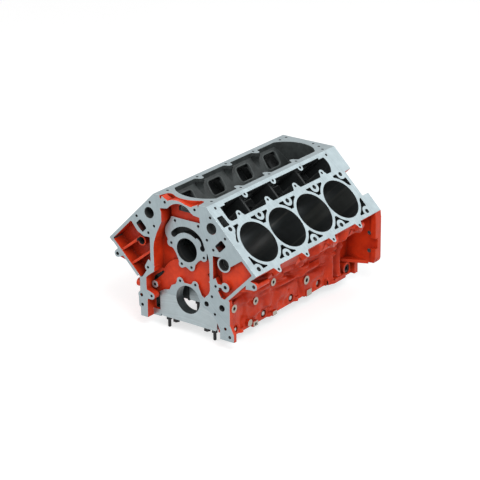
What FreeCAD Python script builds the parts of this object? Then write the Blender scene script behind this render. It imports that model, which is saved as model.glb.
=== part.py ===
import FreeCAD, Part
import math
import os

# Bare V8 engine block with its five main bearing caps and their bolts.
# Lengths are in mm. X points to the engine's left bank, Y to the rear and Z up.
# The sections below measure y from the front face. The finished parts are then moved so that the
# origin is on the crank axis, in the middle of the centre main bearing.

# ---- driving dimensions -------------------------------------------------------------------
BORE_SPACING = 111.76       # between neighbouring cylinders of one bank, and between mains
BORE_R = 53.15              # cylinder bore
BARREL_R = 61.0             # outside of a cylinder barrel
DECK_HEIGHT = 234.7         # crank axis to deck, square to the deck
BANK_ANGLE = 45.0           # each bank leans this far from vertical
BANK_OFFSET = 24.13         # the right bank sits this far behind the left one
FIRST_BORE_Y = 79.43        # front left cylinder, from the front face
BORES_PER_BANK = 4
FIRST_MAIN_Y = 35.56        # middle of the front main bearing
MAIN_COUNT = 5
MAIN_R = 34.93              # main bearing housing
CAP_THICK = 25.6
CAM_Z = 124.8               # cam axis above the crank axis
CAM_R = 29.48
BLOCK_LENGTH = 517.0
NOTCH_Y = 492.0             # rear end of the left bank behind its last cylinder
VALLEY_RAIL_Z = 255.0
PAN_RAIL_Z = -63.0
CHEST_DEPTH = 22.8          # front face back to the cam and main bearing faces
CHEST_FLOOR = 28.0          # front face back to the bare casting of the timing chest
WEB_THICK = 16.0            # crankcase webs, away from the bearing saddles
SKIRT_X = 125.5             # outside of the skirt
RAIL_END_X = 150.0          # the pan rail widens to this at its corners
LIFTER_R = 10.7
HEAD_BOLT_R = 5.8
SMALL_HOLE_R = 3.5
LUG_R = 9.0

CENTRE_MAIN_Y = FIRST_MAIN_Y + 2 * BORE_SPACING
MAIN_Y = [FIRST_MAIN_Y + i * BORE_SPACING for i in range(MAIN_COUNT)]
X_AXIS = FreeCAD.Vector(1, 0, 0)
Y_AXIS = FreeCAD.Vector(0, 1, 0)
Z_AXIS = FreeCAD.Vector(0, 0, 1)
ORIGIN = FreeCAD.Vector(0, 0, 0)
LEFT = 1
RIGHT = -1


# ---- small tools --------------------------------------------------------------------------
def prism(points, start, length, plane):
    """A closed outline pushed along the axis that its plane leaves free.

    An entry of three pairs is an arc: its first point, its middle and its end.
    """
    def place(pair):
        a, b = pair
        if plane == "xz":
            return FreeCAD.Vector(a, start, b)
        if plane == "xy":
            return FreeCAD.Vector(a, b, start)
        return FreeCAD.Vector(start, a, b)

    push = {"xz": Y_AXIS, "xy": Z_AXIS, "yz": X_AXIS}[plane] * length
    corners = []
    edges = []
    for entry in points:
        if isinstance(entry[0], tuple):
            first, middle, last = (place(pair) for pair in entry)
            if corners and corners[-1].distanceToPoint(first) > 1e-6:
                edges.append(Part.LineSegment(corners[-1], first).toShape())
            edges.append(Part.Arc(first, middle, last).toShape())
            corners += [first, last]
        else:
            here = place(entry)
            if corners:
                edges.append(Part.LineSegment(corners[-1], here).toShape())
            corners.append(here)
    if corners[-1].distanceToPoint(corners[0]) > 1e-6:
        edges.append(Part.LineSegment(corners[-1], corners[0]).toShape())
    return Part.Face(Part.Wire(edges)).extrude(push)


def box(x0, x1, y0, y1, z0, z1):
    return Part.makeBox(x1 - x0, y1 - y0, z1 - z0, FreeCAD.Vector(x0, y0, z0))


def rod_y(x, z, r, y0, y1):
    return Part.makeCylinder(r, y1 - y0, FreeCAD.Vector(x, y0, z), Y_AXIS)


def rod_x(y, z, r, x0, x1):
    return Part.makeCylinder(r, x1 - x0, FreeCAD.Vector(x0, y, z), X_AXIS)


def rod_z(x, y, r, z0, z1):
    return Part.makeCylinder(r, z1 - z0, FreeCAD.Vector(x, y, z0), Z_AXIS)


def mirrored(points):
    """The same outline on the other side of the block's middle plane."""
    return [tuple((-x, z) for x, z in p) if isinstance(p[0], tuple) else (-p[0], p[1]) for p in points]


def rounded(points, radius):
    """The same outline with each of its corners turned into an arc."""
    corners = []
    befores = points[-1:] + points[:-1]
    afters = points[1:] + points[:1]
    for before, corner, after in zip(befores, points, afters):
        here = FreeCAD.Vector(*corner, 0)
        back = (FreeCAD.Vector(*before, 0) - here).normalize()
        ahead = (FreeCAD.Vector(*after, 0) - here).normalize()
        half = 0.5 * back.getAngle(ahead)
        inward = (back + ahead).normalize()
        start = here + back * (radius / math.tan(half))
        middle = here + inward * (radius / math.sin(half) - radius)
        end = here + ahead * (radius / math.tan(half))
        corners.append(tuple((v.x, v.y) for v in (start, middle, end)))
    return corners


def both_sides(half):
    """A symmetrical outline from its right half, listed from top to bottom."""
    return half + [(-x, z) for x, z in reversed(half) if x]


def fuse(shapes):
    return shapes[0].multiFuse(shapes[1:]) if len(shapes) > 1 else shapes[0]


def lug(x, z, r, toward_x, toward_z, y0, y1):
    """A screw boss: a round end and a flank that widens into the rail behind it."""
    reach = math.hypot(toward_x - x, toward_z - z)
    ux, uz = (toward_x - x) / reach, (toward_z - z) / reach
    flare = 1.35 * r
    outline = [
        (x - uz * r, z + ux * r),
        (x + uz * r, z - ux * r),
        (toward_x + uz * flare, toward_z - ux * flare),
        (toward_x - uz * flare, toward_z + ux * flare),
    ]
    return prism(outline, y0, y1 - y0, "xz").fuse(rod_y(x, z, r, y0, y1))


# ---- bank coordinates ---------------------------------------------------------------------
# In a bank, w runs across the deck towards the valley, y along the block and u up the bores.
def bank_y(side):
    """How far the bank's pattern sits behind that of the left bank."""
    return 0 if side == LEFT else BANK_OFFSET


def lean(shape, side):
    turned = shape.copy()
    turned.rotate(ORIGIN, Y_AXIS, side * BANK_ANGLE)
    return turned


def bank_rod(side, w, y, r, u0, u1):
    rod = rod_z(-side * w, y + bank_y(side), r, u0, u1)
    return lean(rod, side)


def bank_box(side, w0, w1, y0, y1, u0, u1):
    x0, x1 = sorted((-side * w0, -side * w1))
    return lean(box(x0, x1, y0 + bank_y(side), y1 + bank_y(side), u0, u1), side)


def bank_prism(side, outline, u0, u1):
    """An outline of (y, w) pairs on the deck, pushed along the bores."""
    def place(pair):
        return (-side * pair[1], pair[0] + bank_y(side))

    points = [tuple(place(q) for q in p) if isinstance(p[0], tuple) else place(p) for p in outline]
    return lean(prism(points, u0, u1 - u0, "xy"), side)


def bore_ys():
    return [FIRST_BORE_Y + i * BORE_SPACING for i in range(BORES_PER_BANK)]


# ---- the casting: outer form --------------------------------------------------------------
DECK_TOP_W = 126.0
DECK_LOW_W = -69.5
WALL_W = -62.0
DECK_PLATE = 12.0
SIN45 = math.sin(math.radians(BANK_ANGLE))


def from_bank(w, u):
    """World (x, z) of a point of the left bank's section."""
    return ((u - w) * SIN45, (u + w) * SIN45)


def main_section():
    """The block seen from the front, between its end flanges."""
    return both_sides([
        (0, VALLEY_RAIL_Z),
        from_bank(DECK_TOP_W, DECK_HEIGHT),
        from_bank(DECK_LOW_W, DECK_HEIGHT),
        from_bank(DECK_LOW_W, DECK_HEIGHT - DECK_PLATE),
        from_bank(WALL_W, DECK_HEIGHT - DECK_PLATE - 7),
        from_bank(WALL_W, 141),
        (131, 44),
        (SKIRT_X, 36),
        (SKIRT_X, PAN_RAIL_Z),
        (0, PAN_RAIL_Z),
    ])


FLANGE_THICK = 10.0         # the front flange, where it stands out past the skirt
FRONT_PLATE = 9.0           # depth of the shallow recess in front of the left bank
LEFT_POCKET = 17.0          # depth of that recess beside the timing chest
RIGHT_POCKET = 32.0         # depth of the open pocket in front of the right bank


def front_flanges():
    """Parts of the front face that stand outside the main section."""
    left_lower = [
        (120, 60), (131, 44), (139, 36), (139, -22), (150, -44), (RAIL_END_X, PAN_RAIL_Z),
        (110, PAN_RAIL_Z), (110, 60),
    ]
    wedge = [(SKIRT_X - 4, 0), (139, 0), (139, 12), (SKIRT_X, 52), (SKIRT_X - 4, 52)]
    right_lower = [
        (-100, 60), (-100, PAN_RAIL_Z), (-123, PAN_RAIL_Z), (-123, -44), (-130, -38),
        (-131, -8), (-120, 5), (-120, 34), (-112, 44),
    ]
    strip = [from_bank(-60, 225), from_bank(-68, 225), from_bank(-68, 120), from_bank(-60, 120)]
    return [
        prism(left_lower, 0, FLANGE_THICK, "xz"),
        prism(right_lower, 0, FLANGE_THICK, "xz"),
        prism(wedge, -38, 66, "xy"),
        prism(strip, 0, FRONT_PLATE, "xz"),
        prism(mirrored(strip), 0, RIGHT_POCKET, "xz"),
        lug(208, 91, 9, 186, 92, 0, 8),
        lug(-192, 80, 9, -176, 92, 0, 14),
        lug(-122, -9, 10, -112, -9, 0, FLANGE_THICK),
    ]


def rear_flange():
    """The bellhousing flange, with its rounded lower corners."""
    half = [
        (0, 232), (60, VALLEY_RAIL_Z), from_bank(DECK_TOP_W, DECK_HEIGHT),
        from_bank(DECK_LOW_W, DECK_HEIGHT), (217, 100), (217, -4),
    ]
    corner = ((217, -4), (212, -17), (199, -22))
    foot = [(RAIL_END_X, -27), (RAIL_END_X, PAN_RAIL_Z)]
    outline = half + [corner] + foot
    other = [(-x, z) for x, z in reversed(foot)]
    other += [tuple((-x, z) for x, z in reversed(corner))]
    other += [(-x, z) for x, z in reversed(half[1:-1])]
    return prism(outline + other, BLOCK_LENGTH - 14, 14, "xz")


def rear_flange_rim(side):
    """The thick edge that stiffens the flange, and the gusset that ties it to the skirt."""
    upper = prism([(203, 110), (215, 116), (217, 100), (217, 48), (203, 48)], 493, 11, "xz")
    lower = prism([(203, 20), (217, 20), (217, -4), (212, -17), (204, -17), (203, -6)], 493, 11, "xz")
    gusset = prism([(SKIRT_X - 2, 474), (SKIRT_X - 2, 504), (190, 504)], -27, 8, "xy")
    shapes = [upper, lower, gusset]
    if side == RIGHT:
        shapes = [s.mirror(ORIGIN, X_AXIS) for s in shapes]
    return shapes


DECK_TAB_W = -78.0
VALLEY_TAB_W = 79.0


def deck_tabs(side):
    """Outer screw tabs of the deck, each on a tapering rib down the bank wall."""
    shapes = []
    for y in bore_ys():
        shapes.append(bank_rod(side, DECK_TAB_W, y, 7.5, DECK_HEIGHT - 16, DECK_HEIGHT))
        tab = [(y - 13, -69), (y - 7, DECK_TAB_W), (y + 7, DECK_TAB_W), (y + 13, -69), (y, -60)]
        shapes.append(bank_prism(side, tab, DECK_HEIGHT - 16, DECK_HEIGHT))
        rib = [from_bank(-60, 219), from_bank(-84, 219), from_bank(-66, 168), from_bank(-60, 160)]
        if side == RIGHT:
            rib = mirrored(rib)
        shapes.append(prism(rib, y + bank_y(side) - 5, 10, "xz"))
    return shapes


JACKET_BULGE = [(143, 56.5), (196, 78), (206, 86), (206, 109), (196.5, 110)]
FRONT_RIDGE = [(150, 63.5), (196, 74), ((196, 74), (203, 79), (199, 87)), (170, 83.5)]


def bank_wall(side):
    """The bulges of the water jacket along the outside of a bank, one to a cylinder."""
    spans = [(y - 41, y + 36) for y in bore_ys()]
    spans[0] = (66, 112)
    bulge, ridge = JACKET_BULGE, FRONT_RIDGE
    if side == RIGHT:
        bulge, ridge = mirrored(bulge), mirrored(ridge)
    bar = prism(bulge, spans[0][0], BLOCK_LENGTH, "xz")
    shapes = []
    for y0, y1 in spans:
        plan = [
            ((y0, WALL_W + 4), (y0 + 6, -78), (y0 + 19, -86)),
            ((y1 - 19, -86), (y1 - 6, -78), (y1, WALL_W + 4)),
        ]
        shapes.append(bar.common(bank_prism(side, plan, 130, DECK_HEIGHT)))
    shapes.append(prism(ridge, 4, 64 + bank_y(side), "xz"))
    return shapes


# Screw bosses on the skirt: y, z, boss radius, hole radius and how far out they reach.
SKIRT_BOSSES = [
    (15.3, 15.3, 10.0, 4.5, 141.0),
    (106.7, 0.7, 9.5, 4.0, 135.0),
    (177.7, 23.7, 9.5, 4.0, 135.0),
    (313.7, -18.3, 11.0, 5.0, 136.0),
]
# Machined pads at the pan rail: y, half width, top and reach.
RAIL_PADS = [(106, 9, -50, 135), (183, 8, -52, 135), (326, 10, -47, 135), (406, 9, -47, 135)]
SIDE_BOLT_Z = -48.0
SIDE_PAD_X = 127.0
PLUG_Y = 482.0
PLUG_Z = -44.0
PLUG_R = 11.0
GALLERY_X = 124.0           # axis of the oil gallery along the top of the skirt
COLUMN_FACE_X = 141.0
COLUMNS = [(415.5, 15.0), (451.0, 10.0)]    # round columns behind the last cylinder: y, radius
PAN_BOLT_X = 118.0
PAN_BOLT_Y = (60, 171, 283, 394)


def skirt_features(side):
    """Bosses, pads and stiffening ribs on the outside of the skirt."""
    shapes = []
    for y, z, r, _, reach in SKIRT_BOSSES:
        shapes.append(rod_x(y, z, r, SKIRT_X - 4, reach))
    for y, half, top, reach in RAIL_PADS:
        shapes.append(box(SKIRT_X - 4, reach, y - half, y + half, PAN_RAIL_Z, top))
    shapes.append(rod_x(84, -47, 8.5, SKIRT_X - 4, 135))
    for y in MAIN_Y:
        shapes.append(rod_x(y, SIDE_BOLT_Z, 14, SKIRT_X - 4, SIDE_PAD_X))
    shapes.append(rod_x(PLUG_Y, PLUG_Z, 16, SKIRT_X - 4, 141))
    raised = [(311, PAN_RAIL_Z), (289, 4), ((289, 4), (292, 14), (303, 18)), (402, 18), (402, PAN_RAIL_Z)]
    shapes.append(prism(raised, SKIRT_X - 4, 9, "yz"))
    front_panel = [(72, -26), (72, 14), ((72, 14), (76, 26), (90, 30)), (176, 30), (176, -36), (100, -36)]
    shapes.append(prism(front_panel, SKIRT_X - 4, 7, "yz"))
    shapes.append(rod_y(GALLERY_X, 33, 10, 128, 292))
    for y, r in COLUMNS:
        shapes.append(rod_z(COLUMN_FACE_X - r, y, r, PAN_RAIL_Z, 53))
    toe = [
        (SKIRT_X - 4, 405), (132, 411), ((132, 411), (141, 415), (145, 424)), (145, 471), (139, 479),
        (139, 509), (SKIRT_X - 4, 509),
    ]
    shapes.append(prism(toe, PAN_RAIL_Z, 11, "xy"))
    for y in PAN_BOLT_Y:
        shapes.append(rod_z(PAN_BOLT_X + 4, y, 9, PAN_RAIL_Z, -51))
    if side == RIGHT:
        shapes = [s.mirror(ORIGIN, X_AXIS) for s in shapes]
    return shapes


# ---- the casting: front face --------------------------------------------------------------
CHEST_OUTLINE = [
    (-58, 222), (-57, 224), (-38, 227), ((-34, 230), (-8, 245), (24, 239)), (31.5, 231.5),
    (40, 226.5), (57, 225), (58, 212), (55, 190), (70, 160), (79, 137), (83, 120), (83, 52), (79, 42),
    (66, 29), ((66, 29), (57.5, 18), (62, 5)), (74, 1), (88, -8), (96, -17), (105, -30), (110, -42),
    (110, -70), (-104.5, -70), (-104, -20), (-100, 0), (-106, 3), (-106, 40), (-95, 50),
    (-81, 60), (-81, 120), (-79, 135), (-70, 160), (-55, 190), (-55, 215),
]
CAM_FACE = [
    (-44.5, 200), (-45, 196), (-51.5, 185), (-58, 177), ((-58, 177), (-63.5, 161), (-57, 144)),
    ((-56, 139), (-55, 126.5), (-45, 123.5)), (-40, 121), (-33, 112), (-26, 98),
    ((-24, 91), (-22.5, 80.5), (-14, 78)), (-5, 82.5), ((3, 79), (12, 75.5), (22, 83)), (24.5, 94),
    (33, 104), (41, 110), ((41, 110), (50, 107.5), (58, 114)), (58, 128),
    ((58, 128), (62, 152), (52, 180)), (42, 200),
]
MAIN_FACE = [
    (-84, 0), (-81, 3), (-69, 10), (-55, 13), (-48, 26), (-36, 32),
    ((-32, 40), (-27, 51), (-16, 50)), (-10, 41), (10, 41), ((16, 50), (27, 51), (32, 40)),
    (37, 30), (42, 20), (52, 15.5), (58, 16), (84, 2), (84, 0),
]
CHEST_CHANNEL = 38.0        # front face back to the floor of the channel beside the cam face
CHANNEL = [
    (-120, 60), (-73, 60), ((-73, 60), (-55, 82), (-22, 96)), (-22, 150), (-46, 190), (-48, 240),
    (-120, 240),
]
POCKET_LOW_W = -60.5        # both front pockets stop at this line along the bank's outer wall
RECESS_LEFT = rounded([
    from_bank(-20, 227), from_bank(POCKET_LOW_W, 227), from_bank(POCKET_LOW_W, 116),
    (115, 42), (106, 57), (110, 62), (93, 78), (93, 140), (128, 142), (143, 124),
], 2.5)
POCKET_RIGHT = mirrored(rounded([
    from_bank(20, 227), from_bank(POCKET_LOW_W, 227), from_bank(POCKET_LOW_W, 112),
    (116, 40), (91, 76), (91, 145), (108, 143), (128, 152),
], 3))
FRONT_LUGS = [
    (-43.3, 241.3, -54, 243), (43.3, 241.3, 54, 243), (-99.5, 66.5, -88, 80), (99.5, 66.5, 90, 80),
    (-91.5, -5, -108, -3),
]
FRONT_HOLES = [
    (-43.3, 241.3, SMALL_HOLE_R), (43.3, 241.3, SMALL_HOLE_R),
    (-87.7, 231.5, SMALL_HOLE_R), (87.7, 231.5, SMALL_HOLE_R),
    (-129, 189.5, SMALL_HOLE_R), (129, 189.5, SMALL_HOLE_R),
    (-77.2, 175, SMALL_HOLE_R), (77.2, 175, SMALL_HOLE_R),
    (-95, 154.7, SMALL_HOLE_R), (95, 154.7, SMALL_HOLE_R),
    (-99.5, 66.5, SMALL_HOLE_R), (99.5, 66.5, SMALL_HOLE_R),
    (127, 70, 4.5), (88.5, 38, SMALL_HOLE_R), (72.5, 16, 6.5), (117, 16, 8.0),
    (96, -4.5, SMALL_HOLE_R), (125.5, -34, 4.0), (138, -52, 4.0),
    (-91.5, -5, SMALL_HOLE_R), (-122, -9, 4.5), (-120, -33.5, 4.0),
    (208, 91, 4.5), (-192, 80, 4.5),
]
CHEST_HOLES = [
    (-33, 191.5), (35, 192), (-45.5, 133.5), (49.5, 117), (-16, 87.5), (12.5, 84.5),
    (-22.5, 43), (22.5, 43),
]
WATER_PORT = (90.7, 205.5, 14.0)
LOWER_PORT = (124.5, 125.0, 14.5)
LOWER_PORT_DEPTH = 17.0


def slanted_port(side):
    """The rectangular coolant port, its long side square to the deck."""
    u, w = 200.5, 37.1
    corners = [(w - 9.5, u - 13.5), (w + 9.5, u - 13.5), (w + 9.5, u + 13.5), (w - 9.5, u + 13.5)]
    outline = rounded([from_bank(*c) for c in corners], 4)
    return prism(outline if side == LEFT else mirrored(outline), -1, 27, "xz")


def chest_cut():
    """The timing chest: open down to its floor, with the bearing faces standing up from it."""
    hollow = prism(CHEST_OUTLINE, -1, CHEST_FLOOR + 1, "xz")
    channel = prism(CHEST_OUTLINE, -1, CHEST_CHANNEL + 1, "xz").common(prism(CHANNEL, -1, 60, "xz"))
    faces = fuse([
        prism(CAM_FACE, CHEST_DEPTH, 20, "xz"),
        prism(MAIN_FACE, CHEST_DEPTH, 20, "xz"),
        box(-84, 84, CHEST_DEPTH, 40, -64, 0),
        box(-106, -84, CHEST_DEPTH, 40, -64, -46),
        rod_y(-94, 19, LUG_R, 17, 40),
    ])
    return hollow.fuse(channel).cut(faces)


def chest_openings():
    """The breathing hole over the cam face, the oil drain, and the gap beside the front cap."""
    over_cam = [(-24, 217), (22, 217), (24, 226), ((24, 226), (0, 238), (-24, 227))]
    drain = [(-106, 24), (-101, 37), (-76, 55), (-72, 52), (-80, 43), (-100, 25)]
    beside_cap = box(-100, -85.5, CHEST_DEPTH, 45, -44, -12)
    return [
        prism(over_cam, CHEST_DEPTH, 16, "xz"), prism(drain, CHEST_DEPTH, 32, "xz"), beside_cap,
    ]


def arch_recess():
    """The sloping recess between the chest's arch and the front of the valley rail."""
    over_arch = [
        (-60, 270), (-58, 249), (-52, 246), ((-36, 246), (-10, 252.5), (14, 248)), (30, 245),
        (42, 247.5), (54, 249), (60, 270),
    ]
    before_rail = [
        (-59, -1), (-57, 8), (-52, 23), (-45, 26), ((-37, 24.5), (-2, 12), (43, 27)), (50, 27),
        (54, 22), (57, -1),
    ]
    return prism(over_arch, -1, 60, "xz").common(prism(before_rail, 230, 50, "xy"))


def front_cuts():
    cuts = [chest_cut(), arch_recess()] + chest_openings()
    bosses = fuse([
        rod_y(LOWER_PORT[0], LOWER_PORT[1], 18.5, -2, 30),
        rod_y(127, 70, 11.5, -2, 30),
        box(105, 127, -2, 30, 66, 74),
    ])
    cuts.append(prism(RECESS_LEFT, -1, FRONT_PLATE + 1, "xz").cut(bosses))
    deep = [(93, 140), (93, 78), (110, 62), (113, 64), (113, 108), (106, 140)]
    cuts.append(prism(deep, -1, LEFT_POCKET + 1, "xz").cut(bosses))
    ribs = fuse([
        prism([(-180, 95), (-176, 91), (-124, 131), (-128, 135)], 3, 40, "xz"),
        prism([(-153, 65), (-149, 61), (-90, 106), (-90, 113)], 3, 40, "xz"),
        rod_y(-LOWER_PORT[0], LOWER_PORT[1], 12.5, 10, 40),
    ])
    cuts.append(prism(POCKET_RIGHT, -1, RIGHT_POCKET + 1, "xz").cut(ribs))
    return cuts


def oil_slot():
    """The curved oil passage over the cam bore, with its narrow tail on the right."""
    inner, outer = 42.5, 57.5
    middle = 0.5 * (inner + outer)

    def at(radius, degrees):
        a = math.radians(degrees)
        return (radius * math.cos(a), CAM_Z + radius * math.sin(a))

    arc = [
        (at(inner, 52), at(inner, 95), at(inner, 139)),
        (at(inner, 139), at(middle, 148), at(outer, 139)),
        (at(outer, 139), at(outer, 95), at(outer, 52)),
    ]
    tail = [
        (at(outer, 53), at(56.5, 36), at(54, 19)), at(46, 19), (at(47, 26), at(49.5, 42), at(46, 53)),
        at(inner, 60),
    ]
    depth = 17
    return [
        prism(arc, CHEST_DEPTH - 1, depth, "xz"),
        prism(tail, CHEST_DEPTH - 1, depth, "xz"),
        rod_y(at(48, 17)[0], at(48, 17)[1], 7, CHEST_DEPTH - 1, CHEST_DEPTH + depth - 1),
    ]


def front_holes():
    cuts = [rod_y(x, z, r, -1, 20) for x, z, r in FRONT_HOLES]
    for x, z in CHEST_HOLES:
        cuts.append(rod_y(x, z, SMALL_HOLE_R, CHEST_DEPTH - 1, CHEST_DEPTH + 18))
    cuts.append(rod_y(-94, 19, 4.0, 16, 27))
    for side in (LEFT, RIGHT):
        x, z, r = WATER_PORT
        cuts.append(rod_y(side * x, z, r, -1, 32))
        cuts.append(slanted_port(side))
        x, z, r = LOWER_PORT
        if side == RIGHT:
            r -= 5
        cuts.append(rod_y(side * x, z, r, -1, LOWER_PORT_DEPTH + bank_y(side)))
    return cuts


# ---- the casting: decks -------------------------------------------------------------------
HEAD_BOLT_STEP = 0.5 * BORE_SPACING     # four head bolts sit in a square round each bore
HEAD_BOLT_Y = [FIRST_BORE_Y + (2 * i - 1) * HEAD_BOLT_STEP for i in range(BORES_PER_BANK + 1)]
UPPER_BOLT_W = HEAD_BOLT_STEP
LOWER_BOLT_W = -HEAD_BOLT_STEP
SLOT_FLOOR = 125.0
SLOT_EDGE_W = 60.0          # the slots' straight edge beside the deck's rails
SLOT_BOSS_R = 14.0          # metal left round each head bolt inside the slots
POCKET_FLOOR = 158.0
SMALL_ROW_W = 114.5         # row of small head screws beside the valley
TAPPED_DEPTH = 25.0
BORE_BOTTOM = 92.0


def deck_slots(side):
    """Coolant slots between the barrels and the deck's edges, open down to the jacket."""
    top = DECK_HEIGHT + 1
    high, low = SLOT_EDGE_W, 1 - SLOT_EDGE_W
    outlines = []
    for y in HEAD_BOLT_Y[1:-1]:
        outlines.append([
            (y - 31, high), (y + 31, high), (y + 31, 52), (y + 5, 33.5), (y - 5, 33.5), (y - 31, 52),
        ])
        outlines.append([
            (y - 30, low), (y + 31, low), (y + 31, -52), (y + 5, -31), (y - 5, -31), (y - 30, -52),
        ])
    front, rear = HEAD_BOLT_Y[0], HEAD_BOLT_Y[-1]
    outlines.append([
        (front + 13, high), (front + 31, high), (front + 31, 52), (front - 1, 20),
        (front - 6, 20), (front - 6, 26), (front + 8, 45),
    ])
    outlines.append([
        (front - 6, -20), (front - 6, low), (front + 31, low), (front + 31, -54),
        (front + 14, -40), (front, -20),
    ])
    outlines.append([
        (rear - 29, high), (rear - 14, high), (rear + 10, 41), (rear + 10, 20), (rear + 5, 20),
        (rear - 29, 52),
    ])
    outlines.append([
        (rear - 29, low), (rear - 14, low), (rear + 10, -41), (rear + 10, -20), (rear + 5, -20),
        (rear - 29, -52),
    ])
    slots = fuse([bank_prism(side, o, SLOT_FLOOR, top) for o in outlines])
    keep = [bank_rod(side, 0, y, BARREL_R, SLOT_FLOOR - 1, top + 1) for y in bore_ys()]
    for y in HEAD_BOLT_Y:
        keep.append(bank_rod(side, UPPER_BOLT_W, y, SLOT_BOSS_R, SLOT_FLOOR - 1, top + 1))
        keep.append(bank_rod(side, LOWER_BOLT_W, y, SLOT_BOSS_R, SLOT_FLOOR - 1, top + 1))
    return slots.cut(keep)


def lifter_pocket(side):
    """The long pocket beside the bores, with its partitions and lifter bosses left standing."""
    y0, y1 = 38.5, 458.0
    w0, w1 = 70.5, 116.5
    outline = [
        (y0, 112), (y0 + 19, 112), (y0 + 19, w1), (y1 - 22, w1), (y1 - 22, 112), (y1 - 3, 112),
        ((y1 - 3, 112), (y1, 90), (y1 - 12, w0)),
        ((y0 + 12, w0), (y0 + 3, w0 + 3), (y0, w0 + 12)),
    ]
    pocket = bank_prism(side, outline, POCKET_FLOOR, DECK_HEIGHT + 1)
    keep = []
    for y in HEAD_BOLT_Y[1:-1]:
        keep.append(bank_box(side, w0 - 5, w1 + 5, y - 13.5, y - 8.5, POCKET_FLOOR - 1, DECK_HEIGHT - 8))
        keep.append(bank_rod(side, SMALL_ROW_W, y, LUG_R, POCKET_FLOOR - 1, DECK_HEIGHT + 2))
    for y in bore_ys():
        keep.append(bank_rod(side, VALLEY_TAB_W, y, LUG_R, POCKET_FLOOR - 1, DECK_HEIGHT + 2))
        foot = [(y - 15, w0 - 1), (y - LUG_R, VALLEY_TAB_W), (y + LUG_R, VALLEY_TAB_W), (y + 15, w0 - 1)]
        keep.append(bank_prism(side, foot, POCKET_FLOOR - 1, DECK_HEIGHT + 2))
    return pocket.cut(keep)


def lifter_ys():
    return [y + step for y in bore_ys() for step in (-22, 22)]


def deck_holes(side):
    top = DECK_HEIGHT + 1
    cuts = []
    for i, y in enumerate(HEAD_BOLT_Y):
        cuts.append(bank_rod(side, UPPER_BOLT_W, y, HEAD_BOLT_R, DECK_HEIGHT - 70, top))
        cuts.append(bank_rod(side, LOWER_BOLT_W, y, HEAD_BOLT_R, DECK_HEIGHT - 70, top))
        if side == LEFT or i < BORES_PER_BANK:
            cuts.append(bank_rod(side, SMALL_ROW_W, y, SMALL_HOLE_R, DECK_HEIGHT - TAPPED_DEPTH, top))
    for y in bore_ys():
        cuts.append(bank_rod(side, VALLEY_TAB_W, y, SMALL_HOLE_R, DECK_HEIGHT - TAPPED_DEPTH, top))
        cuts.append(bank_rod(side, DECK_TAB_W, y, SMALL_HOLE_R, DECK_HEIGHT - 17, top))
        cuts.append(bank_rod(side, 0, y, BORE_R, BORE_BOTTOM, top))
    for y in lifter_ys():
        cuts.append(bank_rod(side, CAM_Z * SIN45, y, LIFTER_R, CAM_Z * SIN45, POCKET_FLOOR + 20))
    port = [(8, 65), (31, 65), (28, 93), (8, 93)]
    cuts.append(bank_prism(side, rounded(port, 3), DECK_HEIGHT - 30, top))
    return cuts


# ---- the casting: valley, crankcase and rear ----------------------------------------------
RAIL_LUG_Y = (149, 261, 372)
RAIL_LUG_FOOT = 245.0
VALLEY_HALF = 61.5
VALLEY_FLOOR = 184.0


def valley_cut():
    """The valley: open at its rail, with sloping walls down to the floor over the cam."""
    section = both_sides([
        (VALLEY_HALF, VALLEY_RAIL_Z + 1), (VALLEY_HALF, 243), (35, 203), (24, VALLEY_FLOOR),
    ])
    plan = [
        (VALLEY_HALF, 58), ((VALLEY_HALF, 455), (0, 490), (-VALLEY_HALF, 455)),
        ((-VALLEY_HALF, 60), (0, 31), (VALLEY_HALF, 58)),
    ]
    hollow = prism(section, 20, 480, "xz").common(prism(plan, 150, 120, "xy"))
    keep = []
    for y in RAIL_LUG_Y:
        for side in (LEFT, RIGHT):
            outline = [(side * 66, y - 17), (side * 56, y - 9), (side * 56, y + 9), (side * 66, y + 17)]
            keep.append(prism(outline, RAIL_LUG_FOOT, 30, "xy"))
            keep.append(rod_z(side * 56, y, LUG_R, RAIL_LUG_FOOT, RAIL_LUG_FOOT + 30))
    return hollow.cut(keep)


WINDOW_Y = [89, 201, 313, 424]
WINDOW_LOW_U = 170.0
WINDOW_HIGH_U = 206.0


def window_cuts():
    """Openings through the sloping valley walls into the lifter pockets."""
    cuts = []
    for side in (LEFT, RIGHT):
        shift = -BANK_OFFSET if side == LEFT else 0
        start = -145 if side == LEFT else 106
        for y in WINDOW_Y:
            y0, y1 = y + shift - 25, y + shift + 25
            outline = [(y0, WINDOW_LOW_U), (y1, WINDOW_LOW_U), (y1, WINDOW_HIGH_U), (y0, WINDOW_HIGH_U)]
            cuts.append(lean(prism(rounded(outline, 8), start, 39, "yz"), side))
    return cuts


def rail_holes():
    cuts = []
    points = [(-59, 505), (-60, 480), (67, 481), (47, 494), (24, 503)]
    for y in (37,) + RAIL_LUG_Y:
        points += [(64, y), (-64, y)]
    for x, y in points:
        cuts.append(rod_z(x, y, SMALL_HOLE_R, VALLEY_RAIL_Z - 20, VALLEY_RAIL_Z + 1))
    return cuts


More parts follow.
